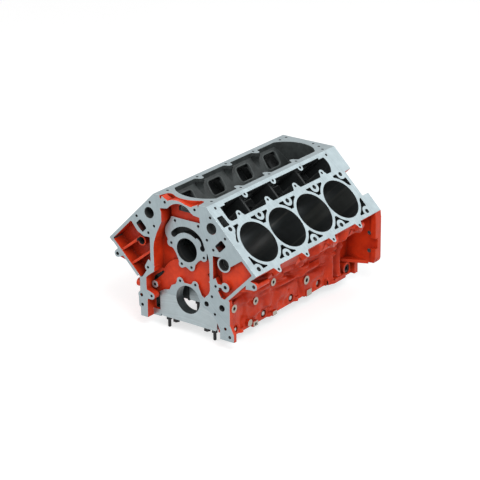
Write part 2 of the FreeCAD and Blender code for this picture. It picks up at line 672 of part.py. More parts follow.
def crankcase_cuts():
    """The four crank bays between the main bearing webs, and the room for the caps."""
    half_cap = 0.5 * CAP_THICK
    bay = both_sides([
        (0, 88), (22, 90), (30, 104), (104, 31), (117, 18), (117, -46), (107, -52),
        (107, PAN_RAIL_Z - 1),
    ])
    gallery = both_sides([(0, 168), (20, 168), (42, 150), (46, 136), (32, 121)])
    saddle = [(-90, -70), (-90, 30), (-60, 62), (60, 62), (90, 30), (90, -70)]
    cuts = []
    for front, rear in zip(MAIN_Y[:-1], MAIN_Y[1:]):
        start, end = front + 0.5 * WEB_THICK, rear - 0.5 * WEB_THICK
        keep = [rod_y(0, CAM_Z, CAM_R + 9, y - half_cap, y + half_cap) for y in (front, rear)]
        keep += [prism(saddle, y - half_cap, CAP_THICK, "xz") for y in (front, rear)]
        cuts.append(prism(bay, start, end - start, "xz").cut(keep))
        cuts.append(prism(gallery, start, end - start, "xz").cut(keep))
    for y in MAIN_Y:
        cuts.append(box(-84, 84, y - half_cap, y + half_cap, PAN_RAIL_Z - 1, 0))
    tunnel_end = MAIN_Y[-1] + half_cap
    cuts.append(rod_y(0, 0, MAIN_R, CHEST_DEPTH - 1, tunnel_end + 1))
    cuts.append(rod_y(0, CAM_Z, CAM_R, CHEST_DEPTH - 1, BLOCK_LENGTH + 1))
    seal = [(-100, -70), (-100, 10), ((-100, 10), (0, 72), (100, 10)), (100, -70)]
    cuts.append(prism(seal, tunnel_end, BLOCK_LENGTH - tunnel_end + 1, "xz"))
    return cuts


FLANGE_HOLES = [(192, 56), (192, 9), (157, 128), (70, 222)]


def rear_cuts():
    """The stepped end of the left bank, the flange's screw holes and its stiffening pocket."""
    cuts = [bank_box(LEFT, -17, 57, NOTCH_Y, BLOCK_LENGTH + 1, 150, DECK_HEIGHT + 1)]
    for side in (LEFT, RIGHT):
        for x, z in FLANGE_HOLES:
            cuts.append(rod_y(side * x, z, 5.5, 480, BLOCK_LENGTH + 1))
    return cuts


OUTER_STUD_X = 67.5
INNER_BOLT_X = 46.0
BOLT_R = 5.0
BOLT_HOLE_DEPTH = 52.0
SIDE_BOLT_R = 4.0
SIDE_BOLT_TIP_X = 75.0


def fastener_holes():
    cuts = []
    for y in MAIN_Y:
        for side in (LEFT, RIGHT):
            for x in (INNER_BOLT_X, OUTER_STUD_X):
                cuts.append(rod_z(side * x, y, BOLT_R, -1, BOLT_HOLE_DEPTH))
            through = rod_x(y, SIDE_BOLT_Z, SIDE_BOLT_R + 0.3, 80, SIDE_PAD_X + 1)
            seat = rod_x(y, SIDE_BOLT_Z, 9.5, SIDE_PAD_X - 8, SIDE_PAD_X + 16)
            if side == RIGHT:
                through, seat = (s.mirror(ORIGIN, X_AXIS) for s in (through, seat))
            cuts += [through, seat]
    for side in (LEFT, RIGHT):
        for y, z, _, r, reach in SKIRT_BOSSES:
            start = reach - 14 if side == LEFT else -reach - 1
            cuts.append(rod_x(y, z, r, start, start + 15))
        start = RAIL_PADS[0][3] - 14 if side == LEFT else -RAIL_PADS[0][3] - 1
        cuts.append(rod_x(RAIL_PADS[0][0], -57, SMALL_HOLE_R, start, start + 15))
    cuts.append(rod_x(PLUG_Y, PLUG_Z, PLUG_R, 129, 142))
    return cuts


def pan_rail_holes():
    cuts = []
    for side in (LEFT, RIGHT):
        for y in PAN_BOLT_Y:
            cuts.append(rod_z(side * PAN_BOLT_X, y, SMALL_HOLE_R, PAN_RAIL_Z - 1, PAN_RAIL_Z + 18))
    return cuts


def casting():
    solids = [prism(main_section(), 0, BLOCK_LENGTH, "xz"), rear_flange()]
    solids += front_flanges()
    for side in (LEFT, RIGHT):
        solids += rear_flange_rim(side)
        solids += deck_tabs(side)
        solids += bank_wall(side)
        solids += skirt_features(side)
    body = fuse(solids)
    hollows = front_cuts() + crankcase_cuts() + rear_cuts() + [valley_cut()]
    for side in (LEFT, RIGHT):
        hollows += [deck_slots(side), lifter_pocket(side)]
    body = body.cut(hollows)
    body = body.fuse([lug(x, z, LUG_R, tx, tz, 0, 18) for x, z, tx, tz in FRONT_LUGS])
    holes = front_holes() + oil_slot() + window_cuts() + rail_holes() + fastener_holes() + pan_rail_holes()
    for side in (LEFT, RIGHT):
        holes += deck_holes(side)
    return body.cut(holes).removeSplitter()


# ---- caps and fasteners -------------------------------------------------------------------
CAP_HALF = 84.0
CAP_BOTTOM = -60.0


def main_cap(y):
    """A steel bearing cap: half the tunnel, four bolt holes and a tapped hole in each end."""
    outline = both_sides([
        (CAP_HALF, 0), (CAP_HALF, CAP_BOTTOM + 5), (CAP_HALF - 5, CAP_BOTTOM),
    ])
    cap = prism(outline, y - 0.5 * CAP_THICK, CAP_THICK, "xz")
    cuts = [rod_y(0, 0, MAIN_R, y - CAP_THICK, y + CAP_THICK)]
    for side in (LEFT, RIGHT):
        for x in (INNER_BOLT_X, OUTER_STUD_X):
            cuts.append(rod_z(side * x, y, BOLT_R + 0.3, CAP_BOTTOM - 1, 1))
        start = SIDE_BOLT_TIP_X if side == LEFT else -CAP_HALF - 1
        cuts.append(rod_x(y, SIDE_BOLT_Z, SIDE_BOLT_R, start, start + CAP_HALF - SIDE_BOLT_TIP_X + 1))
    return cap.cut(cuts)


def hexagon(across_flats, z0, z1):
    radius = across_flats / math.sqrt(3)
    outline = [(radius * math.cos(math.radians(60 * i)), radius * math.sin(math.radians(60 * i)))
               for i in range(6)]
    return prism(outline, z0, z1 - z0, "xy")


def turned(profile):
    """A round part from its (radius, z) profile, which starts and ends on the axis."""
    wire = Part.makePolygon([FreeCAD.Vector(r, 0, z) for r, z in profile + profile[:1]])
    return Part.Face(wire).revolve(ORIGIN, Z_AXIS, 360)


def inner_bolt():
    """A flange bolt that comes up through the cap, its seat at z = 0."""
    tip = BOLT_HOLE_DEPTH - CAP_BOTTOM - 4
    shank = turned([(0, -3), (9.5, -3), (9.5, 0), (BOLT_R, 0), (BOLT_R, tip), (0, tip)])
    return shank.fuse(hexagon(15, -11, -3))


def outer_stud():
    """A bolt with a threaded stud on its head, for the windage tray."""
    tip = BOLT_HOLE_DEPTH - CAP_BOTTOM - 4
    shank = turned([(0, -2.5), (9, -2.5), (9, 0), (BOLT_R, 0), (BOLT_R, tip), (0, tip)])
    stud = turned([(0, -30), (3, -30), (4, -28.5), (4, -10), (0, -10)])
    return fuse([shank, hexagon(13, -10, -2.5), stud])


def side_bolt():
    """A flange bolt that pins the cap's end to the skirt, its seat at z = 0 and pointing up."""
    length = SIDE_PAD_X - 8 - SIDE_BOLT_TIP_X
    shank = turned([(0, -1.8), (8, -1.8), (8, 0), (SIDE_BOLT_R, 0), (SIDE_BOLT_R, length), (0, length)])
    return shank.fuse(hexagon(10, -7, -1.8))


def pair_under_cap(part, x, y):
    pair = []
    for side in (LEFT, RIGHT):
        one = part.copy()
        one.translate(FreeCAD.Vector(side * x, y, CAP_BOTTOM))
        pair.append(one)
    return Part.makeCompound(pair)


def side_pair(y):
    pair = []
    for side in (LEFT, RIGHT):
        one = side_bolt()
        one.rotate(ORIGIN, Y_AXIS, -side * 90)
        one.translate(FreeCAD.Vector(side * (SIDE_PAD_X - 8), y, SIDE_BOLT_Z))
        pair.append(one)
    return Part.makeCompound(pair)


def core_plug():
    """The black screw plug at the rear of the left skirt, with a square drive socket."""
    plug = rod_x(PLUG_Y, PLUG_Z, PLUG_R, 129, 139)
    half = 4.8
    socket = box(133, 140, PLUG_Y - half, PLUG_Y + half, PLUG_Z - half, PLUG_Z + half)
    return plug.cut(socket)


def export(shape, name):
    placed = shape.copy()
    placed.translate(FreeCAD.Vector(0, -CENTRE_MAIN_Y, 0))
    placed.exportStep("parts/" + name + ".step")


os.makedirs("parts", exist_ok=True)
export(casting(), "engine_block")
for number, middle in enumerate(MAIN_Y, start=1):
    export(main_cap(middle), "main_cap_%d" % number)
    export(pair_under_cap(inner_bolt(), INNER_BOLT_X, middle), "cap_%d_inner_bolts" % number)
    export(pair_under_cap(outer_stud(), OUTER_STUD_X, middle), "cap_%d_outer_studs" % number)
    export(side_pair(middle), "cap_%d_side_bolts" % number)
export(core_plug(), "skirt_plug")
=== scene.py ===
import math

import bmesh
import bpy
import numpy as np
from mathutils import Matrix, Vector
from mathutils.bvhtree import BVHTree


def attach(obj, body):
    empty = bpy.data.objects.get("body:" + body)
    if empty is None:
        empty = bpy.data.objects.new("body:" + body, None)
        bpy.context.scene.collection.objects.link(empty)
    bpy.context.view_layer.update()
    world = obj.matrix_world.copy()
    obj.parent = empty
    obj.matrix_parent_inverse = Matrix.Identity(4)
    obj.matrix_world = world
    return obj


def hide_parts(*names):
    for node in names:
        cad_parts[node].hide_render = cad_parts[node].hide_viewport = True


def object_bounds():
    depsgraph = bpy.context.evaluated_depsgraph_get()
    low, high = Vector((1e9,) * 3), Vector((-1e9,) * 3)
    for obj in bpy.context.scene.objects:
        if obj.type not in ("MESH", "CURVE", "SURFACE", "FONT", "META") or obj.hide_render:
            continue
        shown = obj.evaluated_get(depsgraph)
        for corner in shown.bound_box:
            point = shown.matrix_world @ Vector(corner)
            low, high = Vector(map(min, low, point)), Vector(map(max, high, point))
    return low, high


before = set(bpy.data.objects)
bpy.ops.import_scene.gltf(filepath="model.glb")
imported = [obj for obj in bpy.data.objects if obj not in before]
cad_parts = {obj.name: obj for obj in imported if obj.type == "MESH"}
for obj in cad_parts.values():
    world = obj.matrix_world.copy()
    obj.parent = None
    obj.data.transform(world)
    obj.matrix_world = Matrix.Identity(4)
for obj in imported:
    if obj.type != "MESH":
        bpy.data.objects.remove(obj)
cad_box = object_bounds()

# Bare V8 engine block. Metres, X to the left bank, Y to the rear, Z up.
# The origin is on the crank axis in the middle of the centre main bearing.
MM = 0.001
S = math.sqrt(0.5)
FRONT_Y = -259.08          # the front face, in mm from the origin
BORE_SPACING = 111.76
BORE_R = 53.15
DECK = 234.7
CAM_Z = 124.8
CAM_R = 29.48
MAIN_R = 34.93
BANK_OFFSET = 24.13
FIRST_BORE = 79.43
FIRST_MAIN = 35.56
LEFT, RIGHT = 1, -1
BLOCK_LENGTH = 517.0
VALLEY_RAIL_Z = 255.0
PAN_RAIL_Z = -63.0
MAIN_FACE_Y = 22.8         # the cam and main bearing faces, behind the front face
PLUG_Y, PLUG_Z = 482, -44


# ---- camera ---------------------------------------------------------------------------------
def add_camera():
    azimuth, elevation, roll = (math.radians(a) for a in (36.848, 21.747, -0.772))
    back = Vector((math.sin(azimuth) * math.cos(elevation),
                   -math.cos(azimuth) * math.cos(elevation), math.sin(elevation)))
    right = Vector((0, 0, 1)).cross(back).normalized()
    up = back.cross(right)
    c, s = math.cos(roll), math.sin(roll)
    x_axis = c * right + s * up
    y_axis = -s * right + c * up
    turn = Matrix((x_axis, y_axis, back)).transposed()
    offset = Vector((-135.026, -146.717, -4339.40))
    place = -(turn @ offset) * MM
    place.y += FRONT_Y * MM
    data = bpy.data.cameras.new("photo_camera")
    data.sensor_width = 36.0
    data.lens = 1863.88 * 36.0 / 480.0
    data.clip_end = 50.0
    camera = bpy.data.objects.new("photo_camera", data)
    camera.matrix_world = Matrix.Translation(place) @ turn.to_4x4()
    bpy.context.scene.collection.objects.link(camera)
    bpy.context.scene.camera = camera


# ---- material tools -------------------------------------------------------------------------
class Shade:
    """A material's node tree, with short calls for the nodes used here."""

    def __init__(self, name, roughness=0.5, metallic=0.0):
        self.mat = bpy.data.materials.new(name)
        self.mat.use_nodes = True
        self.tree = self.mat.node_tree
        self.shader = self.tree.nodes["Principled BSDF"]
        self.shader.inputs["Roughness"].default_value = roughness
        self.shader.inputs["Metallic"].default_value = metallic
        self.where = self.tree.nodes.new("ShaderNodeTexCoord").outputs["Object"]

    def put(self, socket, value):
        if isinstance(value, bpy.types.NodeSocket):
            self.tree.links.new(value, socket)
        else:
            socket.default_value = value

    def node(self, kind, out=0, settings=None, **inputs):
        made = self.tree.nodes.new("ShaderNode" + kind)
        for key, value in (settings or {}).items():
            setattr(made, key, value)
        for key, value in inputs.items():
            name = key.replace("_", " ")
            socket = made.inputs[int(key[1:])] if key[0] == "i" and key[1:].isdigit() else made.inputs[name]
            self.put(socket, value)
        return made.outputs[out]

    def math(self, op, a, b=0.0, c=0.0):
        return self.node("Math", settings={"operation": op}, i0=a, i1=b, i2=c)

    def vmath(self, op, a, b=(0, 0, 0), out=0):
        return self.node("VectorMath", out=out, settings={"operation": op}, i0=a, i1=b)

    def noise(self, scale, detail=3.0, rough=0.5, where=None):
        return self.node("TexNoise", Vector=where or self.where, Scale=scale, Detail=detail, Roughness=rough)

    def ramp(self, value, low, high, to_low=0.0, to_high=1.0):
        return self.node("MapRange", Value=value, From_Min=low, From_Max=high, To_Min=to_low, To_Max=to_high)

    def mix(self, factor, a, b):
        made = self.tree.nodes.new("ShaderNodeMix")
        made.data_type = "RGBA"
        self.put(made.inputs["Factor"], factor)
        for socket, value in ((made.inputs[6], a), (made.inputs[7], b)):
            self.put(socket, value if isinstance(value, bpy.types.NodeSocket) else (*value, 1.0))
        return made.outputs[2]

    def bevel(self, radius):
        return self.node("Bevel", settings={"samples": 6}, Radius=radius)

    def finish(self, color=None, roughness=None, height=None, depth=0.0005, strength=0.5, normal=None):
        if color is not None:
            if isinstance(color, bpy.types.NodeSocket):
                self.put(self.shader.inputs["Base Color"], color)
            else:
                self.shader.inputs["Base Color"].default_value = (*color, 1.0)
        if roughness is not None:
            self.put(self.shader.inputs["Roughness"], roughness)
        if height is not None:
            bump = self.tree.nodes.new("ShaderNodeBump")
            bump.inputs["Strength"].default_value = strength
            bump.inputs["Distance"].default_value = depth
            self.put(bump.inputs["Height"], height)
            if normal is not None:
                self.put(bump.inputs["Normal"], normal)
            normal = bump.outputs[0]
        if normal is not None:
            self.put(self.shader.inputs["Normal"], normal)
        return self.mat


def edge_highlight_mask(m, rounded, low=0.004, high=0.12):
    """1 along rounded edges, from how far the rounded normal leaves the flat one; it places the painted
    highlights.
    """
    flat = m.tree.nodes.new("ShaderNodeNewGeometry").outputs["Normal"]
    same = m.vmath("DOT_PRODUCT", rounded, flat, out=1)
    return m.ramp(m.math("SUBTRACT", 1.0, same), low, high)


def painted_corner_shade(m, reach):
    """1 in narrow inner corners and 0 on open faces; it places the painted shade."""
    ao = m.node("AmbientOcclusion", out=1, settings={"samples": 8}, Distance=reach)
    return m.ramp(ao, 0.75, 0.25)


def paint(name, bright=(0.78, 0.058, 0.012), dark=(0.54, 0.030, 0.007)):
    m = Shade(name, roughness=0.42)
    m.shader.inputs["Specular IOR Level"].default_value = 0.22
    grain = m.noise(700.0, 4.0, 0.6)
    swell = m.noise(70.0, 3.0, 0.5)
    tone = m.ramp(m.noise(28.0, 4.0, 0.6), 0.35, 0.7)
    color = m.mix(tone, bright, dark)
    rounded = m.bevel(0.0022)
    # Painted highlight: rounded edges are mixed toward a lighter orange.
    color = m.mix(m.math("MULTIPLY", edge_highlight_mask(m, rounded), 0.5), color, (0.86, 0.12, 0.04))
    # Painted shade: narrow inner corners are mixed toward a dark brown-red.
    color = m.mix(m.math("MULTIPLY", painted_corner_shade(m, 0.035), 0.85), color, (0.19, 0.013, 0.004))
    height = m.math("ADD", m.math("MULTIPLY", grain, 0.5), m.math("MULTIPLY", swell, 1.6))
    m.shader.inputs["Coat Weight"].default_value = 0.1
    m.shader.inputs["Coat Roughness"].default_value = 0.25
    return m.finish(color, m.ramp(grain, 0.3, 0.7, 0.36, 0.50), height, 0.0009, 0.7, rounded)


def machined(name, center, base=(0.355, 0.425, 0.45), pitch=0.0011, roughness=0.36, bore_r=0.0):
    """A milled face: cutter arcs round a far centre, with slightly uneven shine.
    Inside bore_r of the crank axis the face is a darker bore."""
    m = Shade(name, metallic=0.8)
    away = m.vmath("DISTANCE", m.where, center, out=1)
    arcs = m.math("SINE", m.math("MULTIPLY", away, 2 * math.pi / pitch))
    bands = m.noise(1.0, 2.0, 0.5, m.node("CombineXYZ", X=m.math("MULTIPLY", away, 260.0)))
    cloud = m.noise(40.0, 4.0, 0.6)
    tone = m.math("ADD", m.math("MULTIPLY", bands, 0.5), m.math("MULTIPLY", cloud, 0.5))
    color = m.mix(m.ramp(tone, 0.35, 0.65), base, tuple(0.84 * c for c in base))
    rounded = m.bevel(0.0007)
    # Painted highlight: rounded edges are mixed toward a pale grey.
    color = m.mix(m.math("MULTIPLY", edge_highlight_mask(m, rounded), 0.5), color, (0.75, 0.79, 0.80))
    if bore_r:
        across = m.vmath("MULTIPLY", m.where, (1.0, 0.0, 1.0))
        inside = m.ramp(m.vmath("LENGTH", across, out=1), bore_r, bore_r - 0.0004)
        color = m.mix(inside, color, (0.06, 0.066, 0.068))
    return m.finish(color, m.ramp(tone, 0.3, 0.7, roughness - 0.06, roughness + 0.08), arcs,
                    0.00003, 0.35, rounded)


def raw_iron(name, base=(0.052, 0.062, 0.062), dark=(0.022, 0.026, 0.026), metallic=0.25):
    m = Shade(name, metallic=metallic)
    grain = m.noise(520.0, 5.0, 0.65)
    cloud = m.noise(36.0, 4.0, 0.6)
    color = m.mix(m.ramp(cloud, 0.35, 0.7), base, dark)
    # Painted shade: narrow inner corners are mixed toward a near-black.
    color = m.mix(m.math("MULTIPLY", painted_corner_shade(m, 0.012), 0.6), color, tuple(0.4 * c for c in dark))
    rounded = m.bevel(0.002)
    # Painted highlight: rounded edges are mixed toward a lighter grey.
    color = m.mix(m.math("MULTIPLY", edge_highlight_mask(m, rounded), 0.5), color, tuple(2.2 * c for c in base))
    height = m.math("ADD", grain, m.math("MULTIPLY", cloud, 1.5))
    return m.finish(color, m.ramp(grain, 0.3, 0.7, 0.48, 0.66), height, 0.0007, 0.7, rounded)


def honed(name, base=(0.15, 0.165, 0.17)):
    """A honed bore: crossing scratches at 45 degrees, long painted highlight streaks and a dark shine."""
    m = Shade(name, metallic=0.85)
    a = m.vmath("DOT_PRODUCT", m.where, (520.0, 900.0, 300.0), out=1)
    b = m.vmath("DOT_PRODUCT", m.where, (-300.0, 900.0, -520.0), out=1)
    lines = m.math("ADD", m.noise(6.0, 2.0, 0.5, m.node("CombineXYZ", X=a)),
                   m.noise(6.0, 2.0, 0.5, m.node("CombineXYZ", X=b)))
    color = m.mix(m.ramp(lines, 0.75, 1.25), base, tuple(0.7 * c for c in base))
    across = m.vmath("DOT_PRODUCT", m.where, (0.0, 90.0, 0.0), out=1)
    # Painted highlight: long light streaks across the bore, standing in for reflections.
    painted_streak_highlight = m.ramp(m.noise(1.0, 3.0, 0.6, m.node("CombineXYZ", X=across)), 0.52, 0.72)
    color = m.mix(m.math("MULTIPLY", painted_streak_highlight, 0.5), color, (0.42, 0.42, 0.38))
    return m.finish(color, m.ramp(lines, 0.7, 1.3, 0.28, 0.42), lines, 0.00006, 0.5)


def threaded(name, axis, pitch=0.00125, base=(0.045, 0.05, 0.052)):
    """The wall of a tapped hole, with its thread as rings along the axis."""
    m = Shade(name, metallic=0.8)
    along = m.vmath("DOT_PRODUCT", m.where, axis, out=1)
    rings = m.math("SINE", m.math("MULTIPLY", along, 2 * math.pi / pitch))
    # Painted shade: the grooves of the thread, where the rings sink, are darker.
    color = m.mix(m.ramp(rings, -1.0, 1.0), tuple(0.4 * c for c in base), base)
    return m.finish(color, 0.42, rings, 0.0004, 0.8)


# ---- the casting's finishes -----------------------------------------------------------------
def casting_copy():
    """A copy of the casting, which stands for it so that each face can have its own finish."""
    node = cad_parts["engine_block"]
    mesh = node.data.copy()
    mesh.name = "casting"
    piece = bpy.data.objects.new("casting", mesh)
    bpy.context.scene.collection.objects.link(piece)
    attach(piece, "root")
    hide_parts("engine_block")
    return piece


def face_arrays(mesh):
    """Corner points and normals of each triangle, in mm, with y from the front face."""
    loops = np.zeros(len(mesh.loops), np.int32)
    mesh.loops.foreach_get("vertex_index", loops)
    co = np.zeros(len(mesh.vertices) * 3, np.float32)
    mesh.vertices.foreach_get("co", co)
    normals = np.zeros(len(mesh.loops) * 3, np.float32)
    mesh.corner_normals.foreach_get("vector", normals)
    points = co.reshape(-1, 3)[loops].reshape(-1, 3, 3) * 1000.0
    points[:, :, 1] -= FRONT_Y
    return points.astype(float), normals.reshape(-1, 3, 3).astype(float)


def flat_normals(points):
    """The unit normal of each flat triangle."""
    flat = np.cross(points[:, 1] - points[:, 0], points[:, 2] - points[:, 0])
    return flat / (np.linalg.norm(flat, axis=1)[:, None] + 1e-12)


def hole_radius(points, normals):
    """The radius of the hole that each triangle lines, or infinity where it lines none."""
    best = np.full(len(points), np.inf)
    for i, j in ((0, 1), (1, 2), (2, 0)):
        step = points[:, j] - points[:, i]
        turn = normals[:, j] - normals[:, i]
        bend = (turn * turn).sum(1)
        radius = -(step * turn).sum(1) / np.maximum(bend, 1e-9)
        radius[(bend < 1e-4) | (radius <= 0)] = np.inf
        best = np.minimum(best, radius)
    return best


FINISHES = ["paint", "front", "left_deck", "right_deck", "rail", "bore", "raw", "dark", "port",
            "tap_x", "tap_y", "tap_z", "tap_left", "tap_right", "pad", "port_wall", "pocket"]


def sort_faces(mesh):
    """The finish of each triangle, by where it is, which way it faces and what hole it lines.
    Later rules win over earlier ones."""
    points, normals = face_arrays(mesh)
    middle = points.mean(1)
    flat = flat_normals(points)
    x, y, z = middle.T
    side = np.where(x >= 0, LEFT, RIGHT)
    u = (abs(x) + z) * S
    w = (z - abs(x)) * S
    facing_u = (flat[:, 0] * side + flat[:, 2]) * S
    bank_y = np.where(side == LEFT, y, y - BANK_OFFSET)
    finish = np.zeros(len(middle), int)
    hole = hole_radius(points, normals)

    def put(name, mask):
        finish[mask] = FINISHES.index(name)

    in_bays = (z > -62.9) & (y > 22.9) & (y < 516.9) & (abs(x) < 118) & (z < 90)
    in_bays &= (y > 43.0) | ((z < 0.2) & (abs(x) < 84.2))
    put("raw", in_bays)
    put("raw", (abs(x) < 60) & (z < 171) & (z > 60) & (y > 43.0) & (y < 516.9))
    chest = (x < -38) & (y < 38.8) & (z < 241.5)
    valley = (abs(x) < 62.5) & (z > 160) & (z < 254.8) & (y > 30.5) & (y < 491)
    put("raw", valley & ~chest)
    # Painted shade: the lifter pockets get a darker copy of the raw iron.
    put("pocket", (w > 66) & (w < 118.5) & (u > 100) & (u < 234.5) & (bank_y > 38) & (bank_y < 459))
    put("raw", valley & (z > 183) & (z > abs(x) * 1.5 + 140))
    slots = (abs(w) < 60.6) & (u > 124) & (u < 234.5) & (bank_y > 17.2) & (y < 491) & (z > 30)
    # Painted shade: the slots inside the banks get a near-black copy of the raw iron.
    put("dark", slots)
    put("raw", (w > 64.5) & (w < 93.5) & (u > 203) & (u < 234.5) & (bank_y > 7.5) & (bank_y < 31.5))
    port = (abs(w - 37.1) < 9.8) & (abs(u - 200.5) < 13.8) & (y > 0.3) & (y < 30.5)
    # Painted shade: the inside of the slanted port gets a dark red copy of the paint.
    put("port", port)
    # Painted shade: these openings and recesses get the same near-black copy of the raw iron.
    put("dark", (abs(x) < 27) & (z > 212) & (z < 243) & (y > 28.3) & (y < 39))
    put("dark", (x < -71) & (x > -107) & (z > 23) & (z < 56) & (y > 28.3) & (y < 56))
    put("dark", (x < -85.4) & (x > -100.1) & (z > -44.1) & (z < -11.9) & (y > 28.3) & (y < 45.1))
    ring = np.hypot(x, z - CAM_Z)
    put("dark", (ring > 40) & (ring < 60) & (z > CAM_Z + 8) & (y > 23) & (y < 45) & (x > -50))
    # walls of round holes
    axis = np.cross(normals[:, 0], normals[:, 1]) + np.cross(normals[:, 1], normals[:, 2])
    axis /= np.linalg.norm(axis, axis=1)[:, None] + 1e-12
    small = hole < 8.6
    put("tap_x", small & (abs(axis[:, 0]) > 0.9))
    put("tap_y", small & (abs(axis[:, 1]) > 0.9))
    put("tap_z", small & (abs(axis[:, 2]) > 0.9))
    put("paint", (abs(x) > 124) & (abs(x) < 147) & (y > 402) & (y < 466) & (z > -62.9) & (z < 56))
    leaning = small & (abs(axis[:, 0]) > 0.6) & (abs(axis[:, 2]) > 0.6)
    put("tap_left", leaning & (side == LEFT))
    put("tap_right", leaning & (side == RIGHT))
    put("port_wall", (hole > 9) & (hole < 15) & (abs(axis[:, 1]) > 0.9) & (y > 0.2) & (y < 42) & (z > 100))
    put("port_wall", (abs(y - 32) < 0.2) & (np.hypot(abs(x) - 90.7, z - 205.5) < 14.2))
    put("port_wall", (abs(bank_y - 17) < 0.2) & (np.hypot(abs(x) - 124.5, z - 125.0) < 14.6))
    put("bore", (abs(hole - BORE_R) < 2) & (u > 90) & (abs(w) < 54) & (z > 30))
    put("bore", (abs(ring - CAM_R) < 0.6) & (y > 22.5))
    put("bore", (abs(np.hypot(x, z) - MAIN_R) < 0.7) & (y > 22.5))
    put("bore", (abs(hole - 10.7) < 1) & (w > 70) & (w < 105) & (u < 200) & (abs(axis[:, 1]) < 0.3))
    # machined planes
    ahead = flat[:, 1] < -0.98
    for depth in (0.0, MAIN_FACE_Y):
        put("front", ahead & (abs(y - depth) < 0.15))
    put("front", ahead & (abs(y - 17.0) < 0.15) & (np.hypot(x + 94, z - 19) < 9.5))
    put("front", (flat[:, 1] > 0.98) & (abs(y - BLOCK_LENGTH) < 0.15))
    deck = (abs(u - DECK) < 0.15) & (facing_u > 0.98)
    put("left_deck", deck & (side == LEFT))
    put("right_deck", deck & (side == RIGHT))
    put("rail", (abs(z - VALLEY_RAIL_Z) < 0.2) & (flat[:, 2] > 0.98))
    put("rail", (abs(z - PAN_RAIL_Z) < 0.15) & (flat[:, 2] < -0.98))
    pad = (abs(flat[:, 0]) > 0.98) & (abs(x) > 134.5) & (abs(x) < 141.5) & (y < 390) & (z < 34)
    pad &= (y > 16) | ((np.hypot(y - 15.3, z - 15.3) < 10.1) & (abs(x) > 140))
    put("pad", pad)
    cap_seats = (abs(x) < 84.1) & (z < 0.2) & (abs(flat[:, 1]) < 0.2) & in_bays
    put("front", cap_seats & ((flat[:, 2] < -0.9) | (abs(flat[:, 0]) > 0.98)))
    return finish


# ---- the cast skin of the flanks ------------------------------------------------------------
STEP = 1.6                 # spacing of the skin's points, in mm
SKIN_REAR = 502.8
SKIN_TOP = 108.2
SKIN_FOOT = -62.9
SOFT_FRONT, SOFT_REAR = 12, 464    # the casting is soft between these, and plain beyond them
BORES = [FIRST_BORE + i * BORE_SPACING for i in range(4)]
MAINS = [FIRST_MAIN + i * BORE_SPACING for i in range(5)]
# Round bosses that stand through the skin: y, z, radius, reach.
ROUND_BOSSES = [(15.3, 15.3, 10.0, 134), (106.7, 0.7, 9.5, 134), (177.7, 23.7, 9.5, 134),
                (313.7, -18.3, 11.0, 138), (84.0, -47.0, 8.5, 135)]
# Square machined pads on the pan rail: y, half width, top.
SQUARE_PADS = [(106, 9, -50), (183, 8, -52), (326, 10, -47), (400.5, 3.7, -47)]
TOE_TOP = -52.0             # top of the toe behind the last pad
# The seats of the side bolts, and how far out the skin stands round each.
SEAT_Z = -48.0
SEAT_R = 9.6
SEAT_FACES = [127.5, 127.5, 127.5, 131.2, 127.5]
# Ridges and hollows of the casting, each placed where it shows on the skirt seen from the left
# front: along, height, half length, half height, slope in degrees, mm proud of the wall.
SWELLS = [
    (145, 21, 25, 5.0, -4, 12.0), (168, 30, 18, 3.6, -50, -8.0), (224, 17, 20, 3.2, -10, 10.0),
    (246, 2, 46, 4.2, -2, 10.0), (150, 6, 20, 3.6, -5, -6.0), (150, -7, 22, 3.6, 0, -5.0),
    (250, -9, 46, 3.2, -2, -6.0), (166, -28, 11, 12, 0, 7.0), (72, -42, 8, 11, 0, -6.0),
    (98, -3, 14, 4.5, -35, -5.0), (181, -57, 7, 7, 0, -6.0), (222, -46, 8, 8, 0, -6.0),
    (253, -27, 4, 3, 0, -5.0), (60, 27, 26, 4, 5, -5.0), (84, 9, 26, 5, -8, 7.0),
    (308, 18, 22, 3.6, 2, 11.0), (336, 5, 34, 4.2, -3, 9.0), (300, -2, 10, 4.6, 45, 7.0),
    (362, -9, 40, 3.2, 0, -7.0), (370, -26, 22, 8, -4, 7.0), (303, -34, 6, 26, 0, -7.0),
    (411, -30, 6, 30, 0, -2.5), (408, 18, 28, 4.6, -8, 9.0), (260, 11, 22, 3, -25, -6.0),
    (230, -28, 22, 10, -10, 6.0), (120, -36, 16, 6, 10, 5.0), (462, 26, 12, 7, -40, 7.0),
]
# Where each bulge of the water jacket starts and ends along the same view.
BULGES = [(155, 216), (268, 330), (382, 446), (495, 562)]


def add_mesh(name, points, quads, material):
    """A smooth mesh of the casting that rides with the block."""
    mesh = bpy.data.meshes.new(name)
    mesh.from_pydata(points, [], quads)
    mesh.polygons.foreach_set("use_smooth", np.ones(len(quads), bool))
    mesh.materials.append(material)
    made = bpy.data.objects.new(name, mesh)
    bpy.context.scene.collection.objects.link(made)
    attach(made, "root")


def plain_wall(z):
    """How far from the middle the plain wall stands at each height."""
    low = np.clip(131.7 - (44.0 - z) * 0.72, 125.5, 131.7)
    return np.where(z > 44.0, z + 62.0 / S, low)


def blurred(field, width):
    """The field smoothed by a bell of this width, in points."""
    reach = int(3 * width)
    bell = np.exp(-0.5 * (np.arange(-reach, reach + 1) / width) ** 2)
    bell /= bell.sum()
    padded = np.pad(field, reach, mode="edge")
    rows = sum(b * padded[i:i + field.shape[0], :] for i, b in enumerate(bell))
    return sum(b * rows[:, i:i + field.shape[1]] for i, b in enumerate(bell))


def filled(field, known):
    """The field with its unknown points filled in smoothly from the known ones."""
    field = np.where(known, field, 0.0)
    weight = known.astype(float)
    for width in (1.5, 4.0, 10.0):
        near = blurred(weight, width)
        guess = blurred(field * weight, width) / np.maximum(near, 1e-9)
        usable = (weight < 0.5) & (near > 0.02)
        field = np.where(usable, guess, field)
        weight = np.where(usable, 1.0, weight)
    return field


